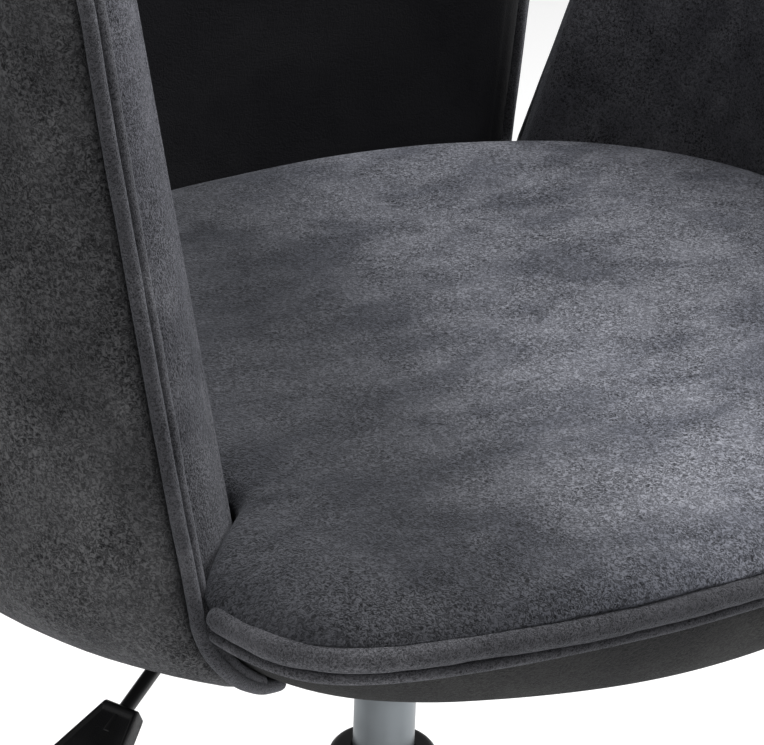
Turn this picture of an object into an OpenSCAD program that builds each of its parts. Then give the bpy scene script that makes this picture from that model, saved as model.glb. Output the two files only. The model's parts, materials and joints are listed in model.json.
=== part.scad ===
// Upholstered swivel armchair: a padded seat between three petal-shaped panels (two arms and a
// back) on a height-adjustable gas lift with a hand lever and a five-star base on twin-wheel casters.
// Millimetres, +Z up. The origin is the swivel axis on the floor, and the sitter faces -Y.

/* [Heights] */
// Height of the welt round the seat's front edge above the floor, at mid-stroke
welt_height = 490; // [440:5:600]
// Top of the back above the welt
back_height = 392; // [320:2:480]
// Top of the arms above the welt
arm_height = 272; // [220:2:330]
// Crown of the seat above the welt
seat_crown = 23; // [18:1:27]
// Depth of the upholstered underside below the welt
seat_depth = 58; // [56:1:70]

/* [Seat plan] */
// Half width of the seat's front
seat_half_width = 214; // [200:1:260]
// Reach of the seat's front edge ahead of the swivel axis
seat_reach = 266; // [245:1:320]
// Radius of the bowed front edge
front_bow = 570; // [450:5:900]
// Sharpness of the seat's front corners
corner_power = 15; // [8:1:20]

/* [Shell plan] */
// How far the centre of the shell's plan lies ahead of the swivel axis
plan_ahead = 20; // [16:1:26]
// Half width of the shell's plan curve
shell_half_width = 228; // [205:1:280]
// Depth of the plan curve ahead of its centre
shell_front = 184; // [155:1:225]
// Depth of the plan curve behind its centre
shell_rear = 166; // [150:1:199]
// Roundness of the plan curve, 2 being an ellipse
shell_power = 2.2; // [2:0.1:3]
// How far the petals' inner faces lie inside the plan curve
inner_inset = 14; // [8:1:18]

/* [Petals] */
// Thickness of a petal at the welt
petal_thickness = 64; // [53:1:77]
// Thickness lost per millimetre of height
petal_taper = 0.09; // [0.05:0.01:0.1]
// Outward lean of the arms per millimetre of height
arm_flare = 0.04; // [0:0.01:0.2]
// Outward lean of the back per millimetre of height
back_flare = 0.2; // [0.1:0.01:0.28]
// Angle of the arms' front edge from straight ahead
arm_front_angle = 55.5; // [50:0.5:62]
// Degrees that the arms' front edge leans back per millimetre
arm_front_lean = 0.045; // [0:0.001:0.06]
// Angle of the gap behind each arm from straight ahead
gap_angle = 133; // [127:0.5:139]
// Width of that gap between the petals' piping, at the seat
gap_width = 0.8; // [0.5:0.1:3]
// Degrees that the arms' rear edge leans forward per millimetre
arm_rear_lean = 0.07; // [0.05:0.005:0.085]
// Degrees by which the back widens at mid-height
back_bulge = 1.5; // [0:0.5:3]
// Corner radius at the top of the arms
arm_corner = 66; // [50:1:80]
// Corner radius at the top of the back
back_corner = 120; // [90:1:145]
// Rise of the arms' top edge at its middle
arm_arch = 10; // [0:1:16]
// Rise of the back's top edge at its middle
back_arch = 14; // [0:1:24]
// Depth to which the petals' covers turn under below the welt
under_depth = 50; // [46:1:54]
// Thickness of the inner pad at the welt
pad_thickness = 26; // [21:1:31]
// Thickness of the moulded panel at the welt
panel_thickness = 10; // [8:1:12]

/* [Welts and board] */
// Diameter of the front welt
welt_d = 9; // [7:0.5:10]
// Diameter of the thin strand below the front welt
under_welt_d = 4; // [3:0.5:5]
// Diameter of each strand of the petals' double piping
piping_d = 5.5; // [4:0.5:6.5]
// Thickness of the seat's plywood board
board_thickness = 12; // [9:1:15]
// Diameter of the bolts that hold the mechanism
bolt_d = 6; // [5:0.5:8]

/* [Mechanism] */
// Length of the mechanism plate, side to side
plate_length = 190; // [160:1:228]
// Width of the mechanism plate, front to back
plate_width = 150; // [130:1:180]
// Thickness of its steel
plate_thickness = 3; // [2.5:0.1:4]
// Height inside the mechanism box
box_height = 37; // [34:1:44]
// Diameter of the lever rod
lever_d = 6; // [5:0.2:7.2]
// Reach of the lever's bend from the swivel axis
lever_bend = 136; // [120:1:160]
// Reach of the paddle's root from the swivel axis
lever_reach = 188; // [175:1:200]
// Turn of the lever ahead of straight sideways, in degrees
lever_turn = 20; // [10:1:24]
// Droop of the lever beyond its bend, in degrees
lever_droop = 27.5; // [15:0.5:32]
// Length of the paddle
paddle_length = 62; // [50:1:74]

/* [Gas lift] */
// Diameter of the moving cylinder
cylinder_d = 28; // [26:1:32]
// Diameter of the fixed outer tube
tube_d = 50; // [48:1:60]
// Diameter of the piston rod
rod_d = 10; // [8:0.5:12]
// Travel up from mid-stroke
travel_up = 45; // [35:1:50]
// Travel down from mid-stroke
travel_down = 55; // [40:1:60]

/* [Base] */
// Distance of the caster stems from the swivel axis
caster_reach = 262; // [220:1:315]
// Diameter of the caster wheels
wheel_d = 55; // [46:1:66]
// Width of one caster wheel
wheel_width = 18; // [15:1:22]
// Offset of the wheels' axle behind the stem
caster_trail = 21; // [17:1:25]
// Diameter of the caster stem
stem_d = 11; // [9:0.5:13]

/* [Hidden] */

// Clearances: between parts that only lie together, and round parts that turn or slide
lie_gap = 0.3;
run_gap = 0.05;
round_fn = 96;
small_fn = 48;

// Colours
fabric_grey = [0.33, 0.34, 0.36];
seat_grey = [0.4, 0.41, 0.43];
ply_brown = [0.72, 0.58, 0.4];
steel_black = [0.07, 0.07, 0.08];
zinc = [0.72, 0.74, 0.76];
nylon_black = [0.06, 0.06, 0.065];

// ---- Plan curves. Angles run from straight ahead (-Y) towards the sitter's right (-X). ----

function plan_depth(a) = cos(a) > 0 ? shell_front : shell_rear;
function plan_r(a) = pow(
    pow(abs(sin(a)) / shell_half_width, shell_power) + pow(abs(cos(a)) / plan_depth(a), shell_power),
    -1 / shell_power
);
function inner_r(a) = plan_r(a) - inner_inset;

// The seat's front edge: a bowed arc blended with the straight sides
bow_centre = front_bow - seat_reach + plan_ahead;
function bow_r(a) = -bow_centre * cos(a) + sqrt(pow(front_bow, 2) - pow(bow_centre * sin(a), 2));
function side_r(a) = seat_half_width / max(abs(sin(a)), 0.01);
function seat_r(a) = pow(pow(bow_r(a), -corner_power) + pow(side_r(a), -corner_power), -1 / corner_power);

// A point at a plan angle, radius and height above the welt
function at(a, r, z) = [-r * sin(a), -plan_ahead - r * cos(a), welt_height + z];

// ---- Seat: rings of points round the plan, stepping in behind the arms' front edges ----

piping_clear = 0.2;
function arc_angle(length, a) = length / inner_r(a) * 180 / PI;
seat_front_angle = arm_front_angle - arc_angle(piping_d + 3 * piping_clear, arm_front_angle);
front_steps = 18;
rear_steps = 24;
rear_start = seat_front_angle + 0.3;
seat_angles = concat(
    [for (i = [0:front_steps]) seat_front_angle * (2 * i / front_steps - 1)],
    [for (i = [0:rear_steps]) rear_start + (360 - 2 * rear_start) * i / rear_steps]
);
function rim_r(a) = is_front(a) ? seat_r(a) : inner_r(a) - 2 * lie_gap;

// Rings given as [inset at the front, inset between the petals, height above the welt, rounding],
// where rounding is the share of the front corners' extra reach that the ring cuts off
function is_front(a) = abs(a) <= seat_front_angle;
function corner_reach(a) = seat_r(a) - seat_r(0);
function ring_inset(a, p) = is_front(a) ? p[0] + p[3] * corner_reach(a) : p[1];
function ring(p) = [for (a = seat_angles) at(a, rim_r(a) - ring_inset(a, p), p[2])];
function ring_points(profile) = [for (p = profile) each ring(p)];
function tube_faces(rings, n, closed) = [
    for (j = [0:rings - (closed ? 1 : 2)]) for (i = [0:n - 1])
        let (k = (i + 1) % n, j2 = (j + 1) % rings)
            each [[j * n + i, j2 * n + i, j2 * n + k], [j * n + i, j2 * n + k, j * n + k]]
];

// A closed pile of rings from the lowest to the highest, with a flat fan at each end
module ring_pile(profile) {
    n = len(seat_angles);
    rings = len(profile);
    low = [0, -plan_ahead, welt_height + profile[0][2]];
    high = [0, -plan_ahead, welt_height + profile[rings - 1][2]];
    polyhedron(
        points = concat(ring_points(profile), [low, high]),
        faces = concat(
            tube_faces(rings, n, false),
            [for (i = [0:n - 1]) [rings * n, i, (i + 1) % n]],
            [for (i = [0:n - 1]) [rings * n + 1, (rings - 1) * n + (i + 1) % n, (rings - 1) * n + i]]
        )
    );
}

// Underside heights, from the welt down: seat_depth is the lowest point of the upholstery
cover_wall = 6;
wall_clearance = 1;
shoulder_depth = seat_depth - 4;
shoulder_inset = 41;
turn_power = 1.6;
function turned(z, depth, power) = pow(max(1 - pow(abs(z) / depth, power), 0), 1 / power);
function under_inset(z) = shoulder_inset * (1 - turned(z, shoulder_depth, turn_power));
function under_rounding(z) = 0.95 * sqrt(1 - turned(z, shoulder_depth, turn_power));
function outer_wall(z) = [under_inset(z), 0, z, under_rounding(z)];
function inner_wall(z, more) = outer_wall(z) + [cover_wall + more, cover_wall + more, 0, 0];
board_top = -30;
board_low = board_top - board_thickness;
cover_rim = -welt_d / 2 - under_welt_d - 2.5;
plate_top = welt_height - seat_depth - 2.3;
dust_thickness = 2;

module plan_sheet(p, height) {
    translate([0, 0, welt_height + p[2]])
        linear_extrude(height)
            polygon([for (v = ring(p)) [v[0], v[1]]]);
}

module seat_cushion() {
    side_inset = welt_d + 0.5;
    color(seat_grey)
        difference() {
            ring_pile([
                inner_wall(board_top, wall_clearance) + [0, 0, lie_gap, 0],
                inner_wall(-20, wall_clearance),
                inner_wall(cover_rim, wall_clearance),
                [side_inset, side_inset, cover_rim + 1, 0],
                [side_inset, 6, welt_d / 2, 0],
                [5, 2, welt_d / 2 + 1.5, 0],
                [8, 2, seat_crown * 0.5, 0],
                [18, 2, seat_crown * 0.74, 0],
                [38, 4, seat_crown * 0.88, 0],
                [75, 18, seat_crown * 0.97, 0],
                [120, 90, seat_crown, 0]
            ]);
            at_brackets(1);
            bracket_screw_pockets();
        }
}

// Bolt places through the mechanism plate, the dust cover, the lower cover and the board
bolt_x = plate_length / 2 - 17;
bolt_y = plate_width / 2 - 17;
module at_bolts() {
    for (x = [-bolt_x, bolt_x])
        for (y = [-bolt_y, bolt_y])
            translate([x, y, 0])
                children();
}
module bolt_holes(r) {
    at_bolts()
        translate([0, 0, welt_height - seat_depth - 10])
            cylinder(h = seat_depth, r = r, $fn = small_fn);
}
tee_nut_r = bolt_d / 2 + 1.5;

module seat_board() {
    color(ply_brown)
        difference() {
            plan_sheet(inner_wall(board_low, wall_clearance), board_thickness);
            bolt_holes(tee_nut_r + run_gap);
            bracket_screw_holes();
        }
}

module tee_nuts() {
    color(zinc)
        at_bolts()
            translate([0, 0, welt_height + board_low])
                difference() {
                    cylinder(h = board_thickness - 0.5, r = tee_nut_r, $fn = small_fn);
                    translate([0, 0, -1])
                        cylinder(h = board_thickness + 2, r = bolt_d / 2 + run_gap, $fn = small_fn);
                }
}

module seat_plate_bolts() {
    head = 4;
    shank = plate_thickness + 2.3 + seat_depth + board_low + board_thickness - 2;
    color(zinc)
        at_bolts()
            translate([0, 0, plate_top - plate_thickness - head])
                union() {
                    cylinder(h = head, r = bolt_d, $fn = 6);
                    cylinder(h = head + shank, r = bolt_d / 2, $fn = small_fn);
                }
}

// The upholstered underside: a tray whose wall turns under to a flat floor
centre_hole_r = 20;
module seat_lower_cover() {
    n = len(seat_angles);
    function hub(z) = [for (a = seat_angles) at(a, centre_hole_r + 40, z)];
    rings = concat(
        hub(-seat_depth),
        ring([90, 90, -seat_depth, 1]),
        ring([shoulder_inset + 8, 40, -shoulder_depth, 1]),
        ring([under_inset(-48), 6, -48, under_rounding(-48)]),
        ring_points([for (z = [board_low, -34, -26, -18, cover_rim]) outer_wall(z)]),
        ring_points([for (z = [cover_rim, -20, board_top]) inner_wall(z, 0)]),
        ring(inner_wall(board_low, 0) - [0, 0, lie_gap, 0]),
        hub(board_low - lie_gap)
    );
    color(fabric_grey)
        difference() {
            polyhedron(points = rings, faces = tube_faces(len(rings) / n, n, true));
            bolt_holes(bolt_d / 2 + lie_gap);
            at_brackets(lie_gap);
        }
}

module dust_cover() {
    color(nylon_black)
        difference() {
            plan_sheet([95, 95, -seat_depth - dust_thickness - 0.1, 1], dust_thickness);
            bolt_holes(bolt_d / 2 + lie_gap);
            cylinder(h = 2 * welt_height, r = centre_hole_r, $fn = small_fn);
        }
}

// ---- Swept strands ----

// A closed strand of round section through points; side and up give the section's two directions
module strand(path, side, up, d, sides) {
    n = len(path);
    polyhedron(
        points = [
            for (i = [0:n - 1]) for (k = [0:sides - 1])
                path[i] + d / 2 * (cos(360 * k / sides) * side[i] + sin(360 * k / sides) * up[i])
        ],
        faces = concat(
            tube_faces(n, sides, false),
            [[for (k = [0:sides - 1]) k]],
            [[for (k = [sides - 1:-1:0]) (n - 1) * sides + k]]
        )
    );
}

welt_steps = 36;
welt_inset = 2;
module front_strand(d, inset, z) {
    angles = [for (i = [0:welt_steps]) (seat_front_angle - 0.4) * (2 * i / welt_steps - 1)];
    path = [for (a = angles) at(a, seat_r(a) - inset, z)];
    strand(path, [for (a = angles) [-sin(a), -cos(a), 0]], [for (a = angles) [0, 0, 1]], d, 8);
}

module seat_welt() {
    color(fabric_grey)
        union() {
            front_strand(welt_d, welt_inset, 0);
            front_strand(under_welt_d, welt_inset - 1, -(welt_d + under_welt_d) / 2 - 0.2);
        }
}

// ---- Petals. Each is [first edge, second edge, top, corner radius, flare, arch]; the edges are
// [angle at the welt, degrees per millimetre, mid-height bulge]. ----

half_gap = arc_angle(gap_width / 2 + piping_d + piping_clear, gap_angle);
ARM = [
    [arm_front_angle, arm_front_lean, 0],
    [gap_angle - half_gap, -arm_rear_lean, 0],
    arm_height, arm_corner, arm_flare, arm_arch
];
BACK = [
    [gap_angle + half_gap, 0, -back_bulge],
    [360 - gap_angle - half_gap, 0, back_bulge],
    back_height, back_corner, back_flare, back_arch
];

bulge_span = 300;
function edge_angle(edge, z) =
    let (h = min(max(z, 0), bulge_span))
        edge[0] + edge[1] * max(z, 0) + edge[2] * sin(180 * h / bulge_span);

// How far the outline has turned in at a height, for the rounded top corners
function corner_inset(petal, z, margin) =
    let (rise = z - (petal[2] - petal[3]), r = petal[3] + margin)
        rise <= 0 ? 0 : r - sqrt(max(r * r - rise * rise, 0));

// Radius at an angle, height and depth through the thickness (0 the inner face)
function petal_r(petal, a, z, depth) =
    inner_r(a) + petal[4] * max(z, 0) + depth * (1 - petal_taper * max(z, 0) / petal_thickness);

// A point a share s of the way across, with the outline grown by a margin
function petal_point(petal, s, z, depth, margin) =
    let (
        reach = (corner_inset(petal, z, margin) - margin) / petal_r(petal, gap_angle, z, 0) * 180 / PI,
        e1 = edge_angle(petal[0], z),
        e2 = edge_angle(petal[1], z),
        a = (e1 + reach) * (1 - s) + (e2 - reach) * s,
        off_middle = (2 * a - e1 - e2) / (e2 - e1),
        lift = petal[5] * max(1 - pow(off_middle, 2), 0) * pow(max(z, 0) / petal[2], 2)
    )
        at(a, petal_r(petal, a, z, depth), z + lift);

// Row heights from a foot up to the top, closer together round the corners
straight_rows = 5;
corner_rows = 6;
function row_heights(petal, foot, margin) =
    let (shoulder = petal[2] - petal[3])
        concat(
            [for (j = [0:straight_rows]) foot + (shoulder - foot) * j / straight_rows],
            [for (j = [1:corner_rows]) shoulder + (petal[3] + margin) * sin(90 * j / corner_rows)]
        );

// A slab between paired rows [[outer depth, outer height], [inner depth, inner height]]
petal_columns = 12;
module slab(petal, rows, margin) {
    n = len(rows);
    c = petal_columns + 1;
    side = [for (k = [0:1]) for (row = rows) for (i = [0:petal_columns])
        petal_point(petal, i / petal_columns, row[k][1], row[k][0], margin)];
    inner = n * c;
    function quad(p, q, r, s) = [[p, q, r], [p, r, s]];
    polyhedron(
        points = side,
        faces = concat(
            [for (j = [0:n - 2]) for (i = [0:c - 2])
                each quad(j * c + i, (j + 1) * c + i, (j + 1) * c + i + 1, j * c + i + 1)],
            [for (j = [0:n - 2]) for (i = [0:c - 2])
                each quad(inner + j * c + i, inner + j * c + i + 1,
                    inner + (j + 1) * c + i + 1, inner + (j + 1) * c + i)],
            [for (i = [0:c - 2]) each quad(i, i + 1, inner + i + 1, inner + i)],
            [for (i = [0:c - 2]) each quad((n - 1) * c + i + 1, (n - 1) * c + i,
                inner + (n - 1) * c + i, inner + (n - 1) * c + i + 1)],
            [for (j = [0:n - 2]) each quad((j + 1) * c, j * c, inner + j * c, inner + (j + 1) * c)],
            [for (j = [0:n - 2]) each quad(j * c + c - 1, (j + 1) * c + c - 1,
                inner + (j + 1) * c + c - 1, inner + j * c + c - 1)]
        )
    );
}

tuck_power = 1.25;
function tucked(z) = turned(min(z, 0), under_depth, tuck_power);
panel_foot = -20;
pad_foot = -8;
layer_gap = 1.3;
panel_in = pad_thickness + layer_gap;
panel_out = panel_in + panel_thickness;
cover_in = panel_out + layer_gap;
panel_margin = -12;

module petal_pad(petal, a) {
    rows = [for (z = concat([pad_foot], row_heights(petal, 0, 0))) [[pad_thickness, z], [0, z]]];
    color(fabric_grey)
        difference() {
            slab(petal, rows, 0);
            at_bracket(a)
                bracket_body(1);
            bracket_screw_pockets();
        }
}

module petal_panel(petal) {
    heights = concat([panel_foot], row_heights(petal, 0, panel_margin));
    rows = [for (z = heights) [[panel_out, z], [panel_in, z]]];
    color(ply_brown)
        difference() {
            slab(petal, rows, panel_margin);
            bracket_screw_holes();
        }
}

// The outer cover tucks under the panel's foot and in to the seat's wall
module petal_cover(petal, a) {
    shelf = panel_foot - layer_gap;
    tuck = [
        [[petal_thickness * tucked(-under_depth + 1), -under_depth + 1], [0.5, shelf]],
        [[petal_thickness * tucked(-42), -42], [cover_in * 0.5, shelf]],
        [[petal_thickness * tucked(-31), -31], [cover_in * 0.8, shelf]],
        [[petal_thickness * tucked(shelf - 1), shelf - 1], [cover_in, shelf]],
        [[petal_thickness * tucked(-10), -10], [cover_in, -10]]
    ];
    rows = [for (z = row_heights(petal, 0, 0)) [[petal_thickness, z], [cover_in, z]]];
    color(fabric_grey)
        difference() {
            slab(petal, concat(tuck, rows), 0);
            at_bracket(a)
                bracket_body(lie_gap);
        }
}

// Double piping round the outer edge of a petal, each strand a distance in from the outer face
piping_offset = piping_d / 2 + piping_clear;
piping_foot = -22;
top_shares = [0.2:0.2:0.8];
function depth_from_outer(back, z) = z < 0
    ? (petal_thickness - back) * tucked(z)
    : petal_thickness - back / (1 - petal_taper * z / petal_thickness);
function piping_point(petal, s, z, back) =
    petal_point(petal, s, z, depth_from_outer(back, z), piping_offset);
function unit(v) = v / norm(v);
module piping_strand(petal, back) {
    heights = concat([piping_foot, piping_foot / 2], row_heights(petal, 0, piping_offset));
    last = len(heights) - 1;
    path = concat(
        [for (z = heights) piping_point(petal, 0, z, back)],
        [for (s = top_shares) piping_point(petal, s, heights[last], back)],
        [for (i = [last:-1:0]) piping_point(petal, 1, heights[i], back)]
    );
    n = len(path);
    along = [for (i = [0:n - 1]) unit(path[min(i + 1, n - 1)] - path[max(i - 1, 0)])];
    out = [for (p = path) unit([p[0], p[1] + plan_ahead, 0])];
    side = [for (i = [0:n - 1]) unit(cross(along[i], out[i]))];
    strand(path, side, [for (i = [0:n - 1]) cross(side[i], along[i])], piping_d, 6);
}

module petal_piping(petal) {
    color(fabric_grey)
        union() {
            piping_strand(petal, piping_d / 2);
            piping_strand(petal, piping_d * 1.5 + 0.4);
        }
}

// ---- Brackets from the board to the panels ----

bracket_width = 40;
bracket_steel = 4;
bracket_foot = 70;
bracket_rise = 72;
bracket_clear = 1;

// How far outside the inner face a flat bracket stands with its edges clear of the curved panel
function bracket_reach(a) =
    let (half = asin(bracket_width / 2 / (inner_r(a) + panel_in)),
        nearest = min(inner_r(a - half), inner_r(a + half)))
    (nearest + panel_in) * cos(half) - inner_r(a) - bracket_clear;
screw_d = 5;
screw_head_r = screw_d * 0.9;
screw_head = 2.5;
screw_y = 12;
right_arm_direction = 95;
bracket_directions = [right_arm_direction, 180, 360 - right_arm_direction];

// Puts its children, drawn along +X, at a bracket: the origin is on its outer face, level with
// the top of the board
module at_bracket(a) {
    translate([0, -plan_ahead, welt_height + board_top])
        rotate([0, 0, 270 - a])
            translate([inner_r(a) + bracket_reach(a), 0, 0])
                children();
}

module bracket_body(grow) {
    wide = bracket_width + 2 * grow;
    thick = bracket_steel + 2 * grow;
    translate([-bracket_foot - grow, -wide / 2, -grow])
        cube([bracket_foot + grow, wide, thick]);
    translate([-bracket_steel - grow, -wide / 2, -grow])
        cube([thick, wide, bracket_rise + 2 * grow]);
}

module at_brackets(grow) {
    for (a = bracket_directions)
        at_bracket(a)
            bracket_body(grow);
}

// Screw places in a bracket's own frame: two through the upright, two down through the foot
upright_screw_z = bracket_rise - 14;
foot_screw_x = -bracket_foot + 12;
upright_screw_length = bracket_steel + panel_thickness * 0.6;
foot_screw_length = bracket_steel + board_thickness - 2;
module screws(r, head_r, head) {
    for (y = [-screw_y, screw_y]) {
        translate([-bracket_steel, y, upright_screw_z])
            rotate([0, 90, 0])
                screw(r, upright_screw_length, head_r, head);
        translate([foot_screw_x, y, bracket_steel])
            rotate([180, 0, 0])
                screw(r, foot_screw_length, head_r, head);
    }
}
module screw(r, length, head_r, head) {
    union() {
        translate([0, 0, -head])
            cylinder(h = head, r = head_r, $fn = small_fn);
        cylinder(h = length, r = r, $fn = small_fn);
    }
}
module bracket_screw_holes() {
    for (a = bracket_directions)
        at_bracket(a)
            screws(screw_d / 2 + run_gap, screw_d / 2 + run_gap, 1);
}
module bracket_screw_pockets() {
    for (a = bracket_directions)
        at_bracket(a)
            screws(screw_d / 2, screw_head_r + 1, screw_head + 1);
}

module bracket(a) {
    color(steel_black)
        difference() {
            at_bracket(a)
                bracket_body(0);
            at_bracket(a)
                screws(screw_d / 2 + run_gap, screw_d / 2 + run_gap, 1);
        }
}

module bracket_screws() {
    color(zinc)
        for (a = bracket_directions)
            at_bracket(a)
                screws(screw_d / 2, screw_head_r, screw_head);
}

module back_pad() { petal_pad(BACK, 180); }
module back_panel() { petal_panel(BACK); }
module back_cover() { petal_cover(BACK, 180); }
module back_piping() { petal_piping(BACK); }
module back_bracket() { bracket(180); }
module right_arm_pad() { petal_pad(ARM, right_arm_direction); }
module right_arm_panel() { petal_panel(ARM); }
module right_arm_cover() { petal_cover(ARM, right_arm_direction); }
module right_arm_piping() { petal_piping(ARM); }
module right_arm_bracket() { bracket(right_arm_direction); }
module left_arm_pad() { mirror([1, 0, 0]) right_arm_pad(); }
module left_arm_panel() { mirror([1, 0, 0]) right_arm_panel(); }
module left_arm_cover() { mirror([1, 0, 0]) right_arm_cover(); }
module left_arm_piping() { mirror([1, 0, 0]) right_arm_piping(); }
module left_arm_bracket() { bracket(360 - right_arm_direction); }

// ---- Mechanism: a flanged steel box with the socket for the gas lift's tapered end ----

box_x = 110;
box_y = 90;
box_top = plate_top - plate_thickness;
box_low = box_top - box_height;
lever_z = box_low + box_height / 2 + 3.5;
taper_low_r = cylinder_d / 2;
taper_high_r = cylinder_d / 2 - 0.8;
socket_wall = 8;
socket_low = box_low - 22;
cylinder_top = box_low + 12;
pivot_reach = 34;
pivot_d = 5;
ear_gap = lever_d + 8;
ear_thickness = 4;

// Puts its children at the swivel axis with +X out along the lever
module along_lever() {
    rotate([0, 0, 180 + lever_turn])
        children();
}

module seat_plate() {
    color(steel_black)
        difference() {
            union() {
                translate([-plate_length / 2, -plate_width / 2, box_top])
                    cube([plate_length, plate_width, plate_thickness]);
                difference() {
                    translate([-box_x / 2, -box_y / 2, box_low])
                        cube([box_x, box_y, box_height]);
                    translate([0, 0, box_low + plate_thickness])
                        translate([plate_thickness - box_x / 2, plate_thickness - box_y / 2, 0])
                            cube([box_x - 2 * plate_thickness, box_y - 2 * plate_thickness, box_height]);
                }
                translate([0, 0, socket_low])
                    cylinder(h = cylinder_top - socket_low, r = taper_low_r + socket_wall, $fn = round_fn);
                along_lever()
                    for (side = [-1, 1])
                        translate([pivot_reach - 6,
                                side * (ear_gap + ear_thickness) / 2 - ear_thickness / 2,
                            box_low + 1])
                            cube([12, ear_thickness, box_height]);
            }
            translate([0, 0, socket_low])
                cylinder(h = cylinder_top - socket_low, r1 = taper_low_r + run_gap,
                    r2 = taper_high_r + run_gap, $fn = round_fn);
            translate([0, 0, socket_low - 1])
                cylinder(h = 1.01, r = taper_low_r + run_gap, $fn = round_fn);
            // Room for the lever's sweep through the box's wall
            along_lever()
                translate([pivot_reach + 8, -lever_d / 2 - 2, box_low + plate_thickness + 4])
                    cube([45, lever_d + 4, box_height - plate_thickness - 5]);
            along_lever()
                translate([pivot_reach, 0, lever_z])
                    rotate([90, 0, 0])
                        cylinder(h = ear_gap + 4 * ear_thickness, r = pivot_d / 2 + run_gap, center = true,
                            $fn = small_fn);
            at_bolts()
                translate([0, 0, box_top - 1])
                    cylinder(h = plate_thickness + 2, r = bolt_d / 2 + lie_gap, $fn = small_fn);
        }
}

module lever_pivot_pin() {
    color(zinc)
        along_lever()
            translate([pivot_reach, 0, lever_z])
                rotate([90, 0, 0])
                    cylinder(h = ear_gap + 2 * ear_thickness + 2, r = pivot_d / 2, center = true,
                        $fn = small_fn);
}

// The lever: straight over the valve pin and out to a bend, then drooping to the paddle
paddle_root = (lever_reach - lever_bend) / cos(lever_droop);
socket_depth = 14;
module lever_rod() {
    inner_end = -4;
    bend_swell = 0.4;
    color(steel_black)
        along_lever()
            translate([0, 0, lever_z])
                difference() {
                    union() {
                        translate([inner_end, 0, 0])
                            rotate([0, 90, 0])
                                cylinder(h = lever_bend - inner_end, r = lever_d / 2, $fn = small_fn);
                        translate([lever_bend, 0, 0])
                            sphere(r = lever_d / 2 + bend_swell, $fn = small_fn);
                        translate([lever_bend, 0, 0])
                            rotate([0, 90 + lever_droop, 0])
                                cylinder(h = paddle_root + socket_depth, r = lever_d / 2, $fn = small_fn);
                        translate([pivot_reach, 0, 0])
                            rotate([90, 0, 0])
                                cylinder(h = ear_gap - 1, r = pivot_d / 2 + 3, center = true,
                                        $fn = small_fn);
                    }
                    translate([pivot_reach, 0, 0])
                        rotate([90, 0, 0])
                            cylinder(h = 3 * ear_gap, r = pivot_d / 2 + run_gap, center = true,
                                    $fn = small_fn);
                }
}

// The paddle: a flat fan with a round end, pushed on the rod
paddle_root_width = 16;
paddle_width = 34;
paddle_thickness = 9;
module lever_handle() {
    end_r = paddle_width / 2;
    fan = paddle_length - end_r;
    color(nylon_black)
        along_lever()
            translate([lever_bend, 0, lever_z])
                rotate([0, lever_droop, 0])
                    translate([paddle_root, 0, 0])
                        difference() {
                            translate([0, 0, -paddle_thickness / 2])
                                linear_extrude(paddle_thickness)
                                    union() {
                                        polygon([
                                            [0, -paddle_root_width / 2], [fan * 0.7, -end_r], [fan, -end_r],
                                            [fan, end_r], [fan * 0.7, end_r], [0, paddle_root_width / 2]
                                        ]);
                                        translate([fan, 0])
                                            circle(r = end_r, $fn = round_fn);
                                    }
                            translate([-1, 0, 0])
                                rotate([0, 90, 0])
                                    cylinder(h = socket_depth + 1.5, r = lever_d / 2 + run_gap,
                                            $fn = small_fn);
                        }
}

// ---- Gas lift, at mid-stroke ----

tube_wall = 2;
tube_low = 62;
tube_floor = 3;
tube_top = socket_low - travel_down - 45;
collar_height = 8;
bush_length = 74;
cylinder_wall = 2;
cylinder_length = cylinder_top - tube_low - 118;
cylinder_low = cylinder_top - cylinder_length;
seal_height = 10;
bearing_height = 6;
stop_height = 12;
clip_height = 4;
piston_height = 10;
piston_low = cylinder_low + seal_height + travel_up + 1;
pin_d = 6;

module sleeve(low, height, outer_r, inner_r) {
    translate([0, 0, low])
        difference() {
            cylinder(h = height, r = outer_r, $fn = round_fn);
            translate([0, 0, -1])
                cylinder(h = height + 2, r = inner_r, $fn = round_fn);
        }
}

module lift_outer_tube() {
    color(steel_black)
        union() {
            sleeve(tube_low + tube_floor, tube_top - tube_low - tube_floor, tube_d / 2,
                tube_d / 2 - tube_wall);
            sleeve(tube_low, tube_floor, tube_d / 2, rod_d / 2 + run_gap);
        }
}

// The plastic bush that guides the cylinder, with a round-shouldered collar on the tube's end
module lift_guide_bush() {
    bore = cylinder_d / 2 + run_gap;
    sleeve = tube_d / 2 - tube_wall - run_gap;
    shoulder = 5;
    color(nylon_black)
        rotate_extrude($fn = round_fn)
            polygon(concat(
                [[bore, tube_top - bush_length], [sleeve, tube_top - bush_length], [sleeve, tube_top]],
                [[tube_d / 2, tube_top]],
                [for (t = [0:15:90]) [
                    tube_d / 2 - shoulder + shoulder * cos(t),
                    tube_top + collar_height - shoulder + shoulder * sin(t)
                ]],
                [[bore + 1, tube_top + collar_height], [bore, tube_top + collar_height - 1]]
            ));
}

module lift_cylinder() {
    straight = socket_low - cylinder_low;
    color(zinc)
        difference() {
            union() {
                translate([0, 0, cylinder_low])
                    cylinder(h = straight, r = cylinder_d / 2, $fn = round_fn);
                translate([0, 0, socket_low])
                    cylinder(h = cylinder_top - socket_low, r1 = taper_low_r, r2 = taper_high_r,
                            $fn = round_fn);
            }
            translate([0, 0, cylinder_low - 1])
                cylinder(h = cylinder_length - 41, r = cylinder_d / 2 - cylinder_wall, $fn = round_fn);
            translate([0, 0, cylinder_low])
                cylinder(h = cylinder_length + 1, r = pin_d / 2 + run_gap, $fn = small_fn);
        }
}

module lift_end_seal() {
    color(nylon_black)
        sleeve(cylinder_low, seal_height, cylinder_d / 2 - cylinder_wall - run_gap, rod_d / 2 + run_gap);
}

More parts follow.
